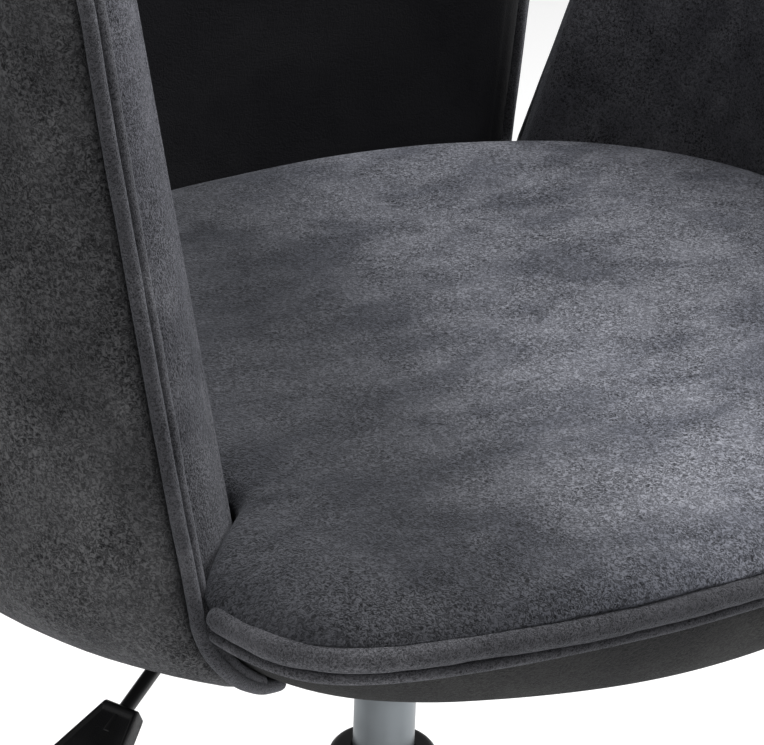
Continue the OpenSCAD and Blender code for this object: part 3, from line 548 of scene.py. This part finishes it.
# Painted shade: the back's lining is the lining suede made far darker, standing in for the shadow over the
# back.
BACK_SHADED_SUEDE = suede("back_suede_painted_shade", (0.002, 0.002, 0.003), (0.005, 0.005, 0.006), CELL, 0.0005, 0.005, 0.3)
PIPING_SUEDE = suede(
    "piping_suede", (0.040, 0.040, 0.044), (0.082, 0.082, 0.088), CELL * 0.6, 0.0004, 0.22, 0.9)
NYLON = moulded_nylon("black_moulded_nylon", (0.010, 0.010, 0.011), 0.42)
TREAD = moulded_nylon("wheel_tread_nylon", (0.016, 0.016, 0.017), 0.55)
POWDER = powder_coat("black_powder_coat", (0.010, 0.010, 0.011))
SATIN_STEEL = turned_metal("satin_cylinder", (0.22, 0.24, 0.255), 0.34, 1400.0)
ZINC = zinc_plate("zinc_plate")
PLYWOOD = bare_plywood("bare_plywood")
DUST_CLOTH = non_woven("dust_cloth")

# ---- Petals: lining with its front band, outer cover, double piping ----

STRAIGHT_ROWS = 26
CORNER_ROWS = 12
COLUMNS = 34
ROWS = STRAIGHT_ROWS + CORNER_ROWS + 1
LINING_FOOT = -0.030
LINING_CORNER = 0.015
COVER_CORNER = 0.005
SEAM_BACK = 2 * PIPING_D + 0.0006
COVER_BACK = SEAM_BACK - 0.0012
COVER_FOOT = -UNDER_DEPTH + 0.0012
TUCK_ROWS = 10
HIDDEN_MARGIN = -0.004
LINING_CROWN = 0.004
BAND_SWELL = 0.0028
COVER_SWELL = 0.003


def heights_for(petal, foot, margin):
    return petal.heights(foot, margin, STRAIGHT_ROWS, CORNER_ROWS)


def across(s):
    """1 over most of a petal's width, and 0 at its two edges."""
    return 1 - abs(2 * s - 1) ** 4


def petal_lining(petal, material):
    """The face towards the sitter, crowned, with the band that turns outwards round its edge."""
    heights = {}

    def row_z(margin, j):
        if margin not in heights:
            heights[margin] = heights_for(petal, LINING_FOOT, margin)
        return heights[margin][j]

    def rim_layer(depth, margin):
        def layer(s, j):
            z = row_z(margin, j)
            return petal.point(s, z, min(depth, cover_depth(petal, s, SEAM_BACK, min(z, 0))), margin)
        return layer

    def inner_face(s, j):
        margin = -LINING_CORNER - 0.001
        z = row_z(margin, j)
        up = min(max(z / petal.top, 0), 1)
        full = across(s) * (1 - up ** 6)
        p = petal.point(s, z, 0, margin)
        rumple = 0.0012 * wave(p, 9, 3.1) + 0.0004 * wave(p, 30, 5.7)
        return petal.point(s, z, -LINING_CROWN * full + rumple * full, margin)

    def back_face(s, j):
        z = row_z(HIDDEN_MARGIN, j)
        return petal.point(s, z, cover_depth(petal, s, SEAM_BACK, min(z, 0)), HIDDEN_MARGIN)

    band_end = THICKNESS - SEAM_BACK
    layers = [inner_face]
    for t in range(80, -1, -10):
        depth = LINING_CORNER * (1 - sind(t))
        layers.append(rim_layer(depth, round(LINING_CORNER * (cosd(t) - 1), 6)))
    band_steps = 9
    for k in range(1, band_steps + 1):
        u = k / band_steps
        depth = LINING_CORNER + (band_end - LINING_CORNER) * u
        swell = BAND_SWELL * math.sin(math.pi * u) ** 0.7 - 0.0015 * u ** 8
        layers.append(rim_layer(depth, round(swell, 6)))
    layers.append(back_face)
    obj = grid_solid(petal.name + "_lining", layers, ROWS, COLUMNS)
    return finish_piece(obj, material, "inner_fabric", SEAT, petal.name + "_pad", fill=0.8)


def cover_depth(petal, s, back, z):
    """Depth at a distance in from the outer face, which turns under below the welt."""
    if z < 0:
        return (THICKNESS - back) * tucked(z, petal.fullness(s))
    return THICKNESS - back / (1 - TAPER * z / THICKNESS)


def petal_cover(petal):
    """The outer shell, which turns under below the welt."""
    heights = {}

    def row_z(margin, j):
        if margin not in heights:
            heights[margin] = heights_for(petal, 0, margin)
        if j < TUCK_ROWS:
            return COVER_FOOT * math.cos(math.pi / 2 * j / TUCK_ROWS)
        return heights[margin][j - TUCK_ROWS]

    def rim_layer(back, margin):
        def layer(s, j):
            z = row_z(margin, j)
            return petal.point(s, z, cover_depth(petal, s, back, z), margin)
        return layer

    def outer_face(s, j):
        margin = -COVER_CORNER
        z = row_z(margin, j)
        up = min(max((z + 0.03) / (petal.top + 0.03), 0), 1)
        full = across(s) * math.sin(math.pi * up) ** 0.8
        p = petal.point(s, z, THICKNESS, margin)
        rumple = 0.0012 * wave(p, 8, 7.9) + 0.0005 * wave(p, 24, 1.3)
        return petal.point(s, z, cover_depth(petal, s, 0, z) + (COVER_SWELL + rumple) * full, margin)

    layers = [rim_layer(COVER_BACK, HIDDEN_MARGIN), rim_layer(COVER_BACK, -0.001)]
    layers.append(rim_layer(COVER_CORNER, 0.0))
    for t in range(20, 81, 20):
        back = COVER_CORNER * (1 - sind(t))
        layers.append(rim_layer(back, round(COVER_CORNER * (cosd(t) - 1), 6)))
    layers.append(outer_face)
    obj = grid_solid(petal.name + "_outer_upholstery", layers, ROWS + TUCK_ROWS, COLUMNS)
    return finish_piece(obj, OUTER_SUEDE, "outer_fabric", SEAT, petal.name + "_cover", fill=0.9)


def piping_path(petal, back, offset, foot):
    """The route of one strand: up the first edge, over the top and down the second edge."""
    tuck_steps = 14
    heights = [foot * math.cos(math.pi / 2 * j / tuck_steps) for j in range(tuck_steps)]
    heights += heights_for(petal, 0, offset)

    def point(s, z):
        return petal.point(s, z, cover_depth(petal, s, back, z), offset)

    top_steps = 20
    path = [point(0, z) for z in heights]
    path += [point(k / top_steps, heights[-1]) for k in range(1, top_steps)]
    path += [point(1, z) for z in reversed(heights)]
    return path


def petal_piping(petal):
    """Two strands side by side in the seam, the outer one reaching lower."""
    parts = []
    offset = PIPING_D / 2 + PIPING_CLEAR
    outer = (PIPING_D / 2, -0.047)
    inner = (1.5 * PIPING_D + 0.0004, -0.040)
    for k, (back, foot) in enumerate((outer, inner)):
        path = piping_path(petal, back, offset, foot)
        path = [p + 0.0004 * Vector((wave(p, 45, 2 + k), wave(p, 45, 5 + k), 0)) for p in path]
        fine = smooth_path(path, 3)
        length = path_length(fine)
        thick = PIPING_D / 2 * 0.98

        def radius(t, length=length, thick=thick, k=k):
            lumps = 1 + 0.05 * noise.noise(Vector((t * length * 70, k, 0)))
            return domed(thick * lumps, length, 0.004)(t)

        parts.append(tube(fine, radius, 14))
    obj = new_object(petal.name + "_double_piping", *merged(parts))
    return finish_piece(obj, PIPING_SUEDE, "piping_fabric", SEAT, petal.name + "_piping")


for petal in PETALS:
    # The back's lining takes the painted-shade copy of the suede.
    petal_lining(petal, BACK_SHADED_SUEDE if petal is BACK else LINING_SUEDE)
    petal_cover(petal)
    petal_piping(petal)

# ---- Seat ----

# A rise is (distance over which the cushion's top comes up from an edge, how round it is)
FRONT_RISE = (0.0133, 0.72)
PETAL_RISE = (0.0015, 0.50)
# How far the cushion presses into the petals
PRESS = 0.003
RIM_INSET = 0.0012


def rim_curve():
    """The seat's rim in plan: the bowed front, in along the arms' front bands, round inside the petals."""
    front_steps = 48
    side_steps = 16
    corner_steps = 10
    rear_steps = 140
    round_r = LINING_CORNER * 0.6
    side_a = SEAT_FRONT + 2.0
    corner_a = side_a + arc_angle(round_r, ARM_FRONT)
    front = [(a, seat_r(a)) for a in (SEAT_FRONT * k / front_steps for k in range(front_steps + 1))]
    low_r = inner_r(side_a) + PRESS + round_r
    high_r = seat_r(SEAT_FRONT)
    side = [(SEAT_FRONT + (side_a - SEAT_FRONT) * (k / side_steps) ** 0.5,
             high_r + (low_r - high_r) * k / side_steps) for k in range(1, side_steps + 1)]
    corner = [(corner_a - (corner_a - side_a) * cosd(90 * k / corner_steps),
               inner_r(corner_a) + PRESS + round_r * (1 - sind(90 * k / corner_steps)))
              for k in range(1, corner_steps + 1)]
    right = front + side + corner
    rear = []
    for i in range(1, rear_steps):
        a = corner_a + (360 - 2 * corner_a) * i / rear_steps
        rear.append((a, inner_r(a) + PRESS))
    left = [(360 - a, r) for a, r in reversed(right)]
    return right + rear + left[:-1]


RIM = rim_curve()


def plan_point(a, r):
    return Vector((-r * sind(a), -PLAN_AHEAD - r * cosd(a)))


FRONT_LINE = [plan_point(a, seat_r(a)) for a in (SEAT_FRONT * (k / 48 - 1) for k in range(97))]
PETAL_LINE = [plan_point(a, r) for a, r in RIM if SEAT_FRONT <= a <= 360 - SEAT_FRONT]


def distance(line, p):
    best = 1.0
    for a, b in zip(line, line[1:]):
        ab = b - a
        t = min(max((p - a).dot(ab) / max(ab.length_squared, 1e-12), 0), 1)
        best = min(best, (a + ab * t - p).length_squared)
    return math.sqrt(best)


def rise(d, shape):
    return 1 - math.exp(-(max(d, 0) / shape[0]) ** shape[1])


def seat_height(p):
    """The cushion's top above the welt: crowned, down to the welt in front, tucked in at the petals."""
    from_front = distance(FRONT_LINE, p)
    from_petal = distance(PETAL_LINE, p)
    puffed = (CROWN - 0.0015) * rise(from_front, FRONT_RISE) * rise(from_petal, PETAL_RISE)
    q = Vector((p.x, p.y, 0))
    pucker = 0.0011 * math.exp(-from_front / 0.014) * wave(q, 85, 4.4)
    rumple = 0.0009 * wave(q, 11, 8.2) + 0.0004 * wave(q, 28, 2.9)
    return puffed + (pucker + rumple) * min(from_petal / 0.01, 1)


def seat_cushion():
    """The crowned top, in rings from its middle to the rim, closed underneath."""
    rays = len(RIM)
    ring_count = 40
    shares = [1 - (1 - k / ring_count) ** 1.9 for k in range(1, ring_count + 1)]
    # Each ring under the cushion is (how far in from the rim, height)
    underneath = ((0.006, -0.004), (0.018, -0.007), (0.044, -0.009))
    points = [at(0, 0, CROWN - 0.002)]
    for share in shares:
        for a, r in RIM:
            p = plan_point(a, (r - RIM_INSET) * share)
            points.append(Vector((p.x, p.y, WELT_Z + WELT_R * 0.4 + seat_height(p))))
    for inset, z in underneath:
        for a, r in RIM:
            points.append(at(a, r - RIM_INSET - inset, z))
    points.append(at(0, 0, underneath[-1][1]))
    faces = [(0, 1 + i, 1 + (i + 1) % rays) for i in range(rays)]
    rings = ring_count + len(underneath)
    for j in range(rings - 1):
        for i in range(rays):
            k = (i + 1) % rays
            low = 1 + j * rays
            faces.append((low + i, low + rays + i, low + rays + k, low + k))
    last = 1 + (rings - 1) * rays
    faces += [(last + i, len(points) - 1, last + (i + 1) % rays) for i in range(rays)]
    obj = new_object("seat_cushion_crowned", points, faces)
    return finish_piece(obj, SEAT_SUEDE, "seat_fabric", SEAT, "seat_cushion", fill=0.85)


def front_line(inset, z):
    """Points along the seat's bowed front, just short of the arms."""
    steps = 240
    limit = SEAT_FRONT - 0.3
    return [at(a, seat_r(a) - inset, z) for a in (limit * (2 * i / steps - 1) for i in range(steps + 1))]


def seat_front_roll():
    """The fat roll on the front edge, gathered a little along its length, and the thin strand below it."""
    roll = front_line(0.002, 0)
    length = path_length(roll)
    roll = [p + Vector((0, 0, 0.0011 * wave(p, 22, 6.1))) for p in roll]

    def roll_radius(t):
        gather = 1 + 0.10 * noise.noise(Vector((t * length * 45, 0, 0)))
        gather += 0.05 * noise.noise(Vector((t * length * 130, 3, 0)))
        return domed((WELT_R + 0.0003) * gather, length, 0.006)(t)

    strand = [p + Vector((0, 0, 0.0004 * wave(p, 30, 1.7)))
              for p in front_line(0.001, -WELT_R - 0.0024)]
    parts = [tube(roll, roll_radius, 18), tube(strand, domed(0.0021, length, 0.003), 10)]
    obj = new_object("seat_front_roll", *merged(parts))
    return finish_piece(obj, PIPING_SUEDE, "piping_fabric", SEAT, "seat_welt")


def turned(z, depth):
    """How much of the band's reach is left at a height below the welt, from 1 down to 0."""
    return max(1 - (abs(z) / depth) ** 1.6, 0) ** (1 / 1.6)


def seat_underside():
    """The band below the roll, turning under to a flat floor with a hole for the gas lift's cover."""
    below = 0.004
    shoulder = SEAT_DEPTH - below
    band_top = WELT_R + below
    band_rows = 16
    heights = [-band_top - (shoulder - below - band_top) * (k / band_rows) ** 0.85
               for k in range(band_rows + 1)]
    turn_in = 0.041
    corner_taper = 0.010
    taper_from = 34
    hole_r = 0.060
    front_steps = 84
    rear_steps = 96
    angles = [(SEAT_FRONT - 0.1) * (2 * i / front_steps - 1) for i in range(front_steps + 1)]
    rear = ARM_FRONT + 1.5
    angles += [rear + (360 - 2 * rear) * i / rear_steps for i in range(rear_steps + 1)]
    middle_r = seat_r(0)

    def ring(front_inset, rear_inset, z, rounding):
        """A ring at a height, in from the seat's front and the petals. Rounding brings its corners in."""
        out = []
        for i, a in enumerate(angles):
            front = i <= front_steps
            r = seat_r(a) if front else inner_r(a) - 0.0006
            inset = rear_inset
            if front:
                near_arm = max((abs(a) - taper_from) / (SEAT_FRONT - taper_from), 0) ** 1.5
                taper = corner_taper * near_arm * rounding
                inset = front_inset + rounding * (seat_r(a) - middle_r) + taper
            p = at(a, r - inset, z)
            ease = 0.0008 * wave(p, 14, 9.3) if front else 0
            out.append(p + Vector((-sind(a) * ease, -cosd(a) * ease, 0)))
        return out

    rings = [ring(0.006, 0.006, -0.0035, 0)]
    for z in heights:
        t = turned(z, shoulder)
        rings.append(ring(0.0005 + turn_in * (1 - t), 0, z, 0.95 * math.sqrt(1 - t)))
    rings.append(ring(0.045, 0.040, -SEAT_DEPTH + 0.0055, 1))
    rings.append(ring(0.062, 0.058, -SEAT_DEPTH + 0.0025, 1))
    rings.append(ring(0.090, 0.090, -SEAT_DEPTH, 1))
    rings.append([at(a, hole_r, -SEAT_DEPTH) for a in angles])
    rings.append([at(a, hole_r, -SEAT_DEPTH + 0.006) for a in angles])
    rings.append(ring(0.085, 0.085, -SEAT_DEPTH + 0.012, 1))
    rings.append(ring(0.050, 0.030, -0.036, 1))
    rings.append(ring(0.012, 0.012, -0.012, 0))
    n = len(angles)
    faces = []
    for j in range(len(rings)):
        m = (j + 1) % len(rings)
        for i in range(n):
            k = (i + 1) % n
            faces.append((j * n + i, m * n + i, m * n + k, j * n + k))
    obj = new_object("seat_underside", [p for r in rings for p in r], faces)
    # The underside takes the painted-shade copy of the suede.
    return finish_piece(obj, UNDER_SHADED_SUEDE, "outer_fabric", SEAT, "seat_lower_cover", fill=0.9)


seat_cushion()
seat_front_roll()
seat_underside()

# ---- Lever: a bent rod and a flat moulded paddle ----

LEVER = next(j for j in frame["joints"] if j["name"] == "height_lever")
PIVOT = Vector(LEVER["pos_m"])
LEVER_OUT = Vector((PIVOT.x, PIVOT.y, 0)).normalized()
LEVER_SIDE = Vector((0, 0, 1)).cross(LEVER_OUT)
LEVER_D = 0.006
LEVER_BEND = 0.136
LEVER_REACH = 0.188
LEVER_DROOP = 27.5
PADDLE_LENGTH = 0.062


def lever_point(out, up):
    return Vector((0, 0, PIVOT.z + up)) + LEVER_OUT * out


def lever_rod():
    bend_half = 0.010
    droop = math.tan(math.radians(LEVER_DROOP))
    out_end = LEVER_REACH + 0.012 * cosd(LEVER_DROOP)
    start = lever_point(LEVER_BEND - bend_half, 0)
    corner = lever_point(LEVER_BEND, 0)
    end = lever_point(LEVER_BEND + bend_half * cosd(LEVER_DROOP), -bend_half * sind(LEVER_DROOP))
    bend = [(1 - t) ** 2 * start + 2 * t * (1 - t) * corner + t * t * end
            for t in (k / 10 for k in range(11))]
    path = [lever_point(-0.004 + 0.01 * k, 0) for k in range(13)] + bend
    straight_from = LEVER_BEND + 2 * bend_half
    outs = [straight_from + (out_end - straight_from) * k / 20 for k in range(21)] + [out_end + 0.0005]
    path += [lever_point(out, -(out - LEVER_BEND) * droop) for out in outs]
    obj = new_object("lever_rod_bent", *tube(path, lambda t: LEVER_D / 2, 20))
    eye_points, eye_faces = tube(
        [PIVOT - LEVER_SIDE * 0.0065, PIVOT - LEVER_SIDE * 0.006, PIVOT + LEVER_SIDE * 0.006,
         PIVOT + LEVER_SIDE * 0.0065], lambda t: 0.0055 if 0.03 < t < 0.97 else 0.005, 28)
    eye = new_object("lever_eye", eye_points, eye_faces)
    finish_piece(obj, POWDER, "black_steel", "lever", "lever_rod")
    eye.data.materials.append(POWDER)
    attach(eye, "lever")


def lever_paddle():
    """A flat fan with a round end and a raised rim, built as a stack of (share of outline, height)."""
    root_half = 0.008
    end_r = 0.017
    fan = PADDLE_LENGTH - end_r
    along = (LEVER_OUT * cosd(LEVER_DROOP) - Vector((0, 0, 1)) * sind(LEVER_DROOP)).normalized()
    up = LEVER_SIDE.cross(along).normalized()
    up = up if up.z > 0 else -up
    root = lever_point(LEVER_REACH, -(LEVER_REACH - LEVER_BEND) * math.tan(math.radians(LEVER_DROOP)))
    outline = [(0, -root_half), (fan * 0.35, -root_half - 0.0042), (fan * 0.7, -end_r + 0.0006)]
    outline += [(fan + end_r * cosd(t), end_r * sind(t)) for t in range(-90, 91, 10)]
    outline += [(x, -y) for x, y in reversed(outline[:3])]
    centre = (fan * 0.7, 0)
    top = [(0.60, 0.0026), (0.86, 0.0028), (0.90, 0.0042), (0.96, 0.0045), (1.0, 0.0030)]
    stack = top + [(1.0, -0.0030), (0.96, -0.0045), (0.60, -0.0045)]
    points = []
    for scale, height in stack:
        for x, y in outline:
            px = centre[0] + (x - centre[0]) * scale
            py = centre[1] + (y - centre[1]) * scale
            points.append(root + along * px + LEVER_SIDE * py + up * height)
    n = len(outline)
    faces = []
    for j in range(len(stack) - 1):
        for i in range(n):
            k = (i + 1) % n
            faces.append((j * n + i, j * n + k, (j + 1) * n + k, (j + 1) * n + i))
    faces.append(tuple(range(n)))
    faces.append(tuple((len(stack) - 1) * n + i for i in reversed(range(n))))
    obj = new_object("lever_paddle", points, faces)
    edge = obj.modifiers.new("edge", "BEVEL")
    edge.width = 0.0007
    edge.segments = 3
    edge.limit_method = "ANGLE"
    edge.angle_limit = math.radians(35)
    apply_modifiers(obj)
    return finish_piece(obj, NYLON, "black_nylon", "lever", "lever_handle")


lever_rod()
lever_paddle()

# ---- Hard parts: the star base from the CAD's own shape with its edges rounded, and finishes for the CAD's other parts ----

def softened(node, material, slot, body, width, segments):
    """A copy of a CAD node with flat faces made whole and sharp edges rounded, which replaces it."""
    source = frame["nodes"][node]
    mesh = source.data.copy()
    bm = bmesh.new()
    bm.from_mesh(mesh)
    bmesh.ops.remove_doubles(bm, verts=bm.verts, dist=1e-6)
    bmesh.ops.dissolve_limit(bm, angle_limit=math.radians(1.0), verts=bm.verts, edges=bm.edges)
    bm.to_mesh(mesh)
    bm.free()
    mesh.materials.clear()
    obj = bpy.data.objects.new(node + "_finished", mesh)
    bpy.context.scene.collection.objects.link(obj)
    edge = obj.modifiers.new("edge", "BEVEL")
    edge.width = width
    edge.segments = segments
    edge.limit_method = "ANGLE"
    edge.angle_limit = math.radians(30)
    edge.harden_normals = True
    normals = obj.modifiers.new("normals", "WEIGHTED_NORMAL")
    normals.keep_sharp = True
    for polygon in mesh.polygons:
        polygon.use_smooth = True
    apply_modifiers(obj)
    return finish_piece(obj, material, slot, body, node)


softened("star_base", NYLON, "black_nylon", "base", 0.0022, 3)

CAD_FINISH = {
    "lift_outer_tube": POWDER, "lift_guide_bush": NYLON, "lift_cylinder": SATIN_STEEL,
    "lift_end_seal": NYLON, "lift_piston": ZINC, "lift_rod": SATIN_STEEL, "lift_bump_stop": TREAD,
    "lift_thrust_bearing": ZINC, "lift_retaining_clip": POWDER, "lift_valve_pin": ZINC,
    "seat_plate": POWDER, "seat_plate_bolts": ZINC, "tee_nuts": ZINC, "lever_pivot_pin": ZINC,
    "seat_board": PLYWOOD, "dust_cover": DUST_CLOTH, "bracket_screws": ZINC,
}
for petal in PETALS:
    CAD_FINISH[petal.name + "_panel"] = PLYWOOD
    CAD_FINISH[petal.name + "_bracket"] = POWDER
for k in range(1, 6):
    CAD_FINISH[f"caster_{k}_housing"] = NYLON
    CAD_FINISH[f"caster_{k}_pins"] = ZINC
    CAD_FINISH[f"caster_{k}_left_wheel"] = TREAD
    CAD_FINISH[f"caster_{k}_right_wheel"] = TREAD
for node, material in CAD_FINISH.items():
    mesh = frame["nodes"][node].data
    mesh.materials.clear()
    mesh.materials.append(material)

# ---- Floor, light and camera ----

def floor():
    s = Shader("pale_floor")
    s.set(Base_Color=(0.90, 0.90, 0.90, 1.0), Roughness=0.9, Emission_Color=(1.0, 1.0, 1.0, 1.0),
          Emission_Strength=0.32)
    points = [Vector((x, y, 0)) for y in (-9, 9) for x in (-9, 9)]
    obj = new_object("floor", points, [(0, 1, 3, 2)])
    obj.data.materials.append(s.material)


def softbox(name, place, aim, width, height, power):
    data = bpy.data.lights.new(name, "AREA")
    data.shape = "RECTANGLE"
    data.size = width
    data.size_y = height
    data.energy = power
    obj = bpy.data.objects.new(name, data)
    bpy.context.scene.collection.objects.link(obj)
    obj.location = place
    obj.rotation_euler = (Vector(aim) - Vector(place)).to_track_quat("-Z", "Y").to_euler()


def camera():
    height_over_welt = 0.5031
    place = Vector((-0.7111, -0.9323, WELT_Z + height_over_welt))
    azimuth = 37.0
    pitch = 24.37
    roll = 2.11
    look = Vector((sind(azimuth) * cosd(pitch), cosd(azimuth) * cosd(pitch), -sind(pitch)))
    data = bpy.data.cameras.new("camera")
    data.sensor_width = 36.0
    data.lens = 141.6
    data.clip_start = 0.05
    obj = bpy.data.objects.new("camera", data)
    bpy.context.scene.collection.objects.link(obj)
    turn = look.to_track_quat("-Z", "Y") @ Quaternion((0, 0, 1), math.radians(roll))
    obj.matrix_world = Matrix.Translation(place) @ turn.to_matrix().to_4x4()
    bpy.context.scene.camera = obj


floor()
seat_middle = (0, -PLAN_AHEAD, WELT_Z)
softbox("key", (1.7, -0.2, 2.0), seat_middle, 1.0, 1.0, 34)
softbox("overhead", (0.45, -0.1, 2.4), seat_middle, 1.0, 0.9, 26)
softbox("fill", (-2.2, -1.2, 1.3), seat_middle, 1.4, 1.4, 4)
softbox("front", (0.8, -2.4, 1.6), (0, 0, WELT_Z + 0.2), 1.0, 1.0, 4)
world = bpy.data.worlds.new("world")
bpy.context.scene.world = world
world.use_nodes = True
background = world.node_tree.nodes["Background"]
background.inputs["Color"].default_value = (1, 1, 1, 1)
background.inputs["Strength"].default_value = 0.24
bpy.context.scene.view_settings.view_transform = "Standard"
camera()
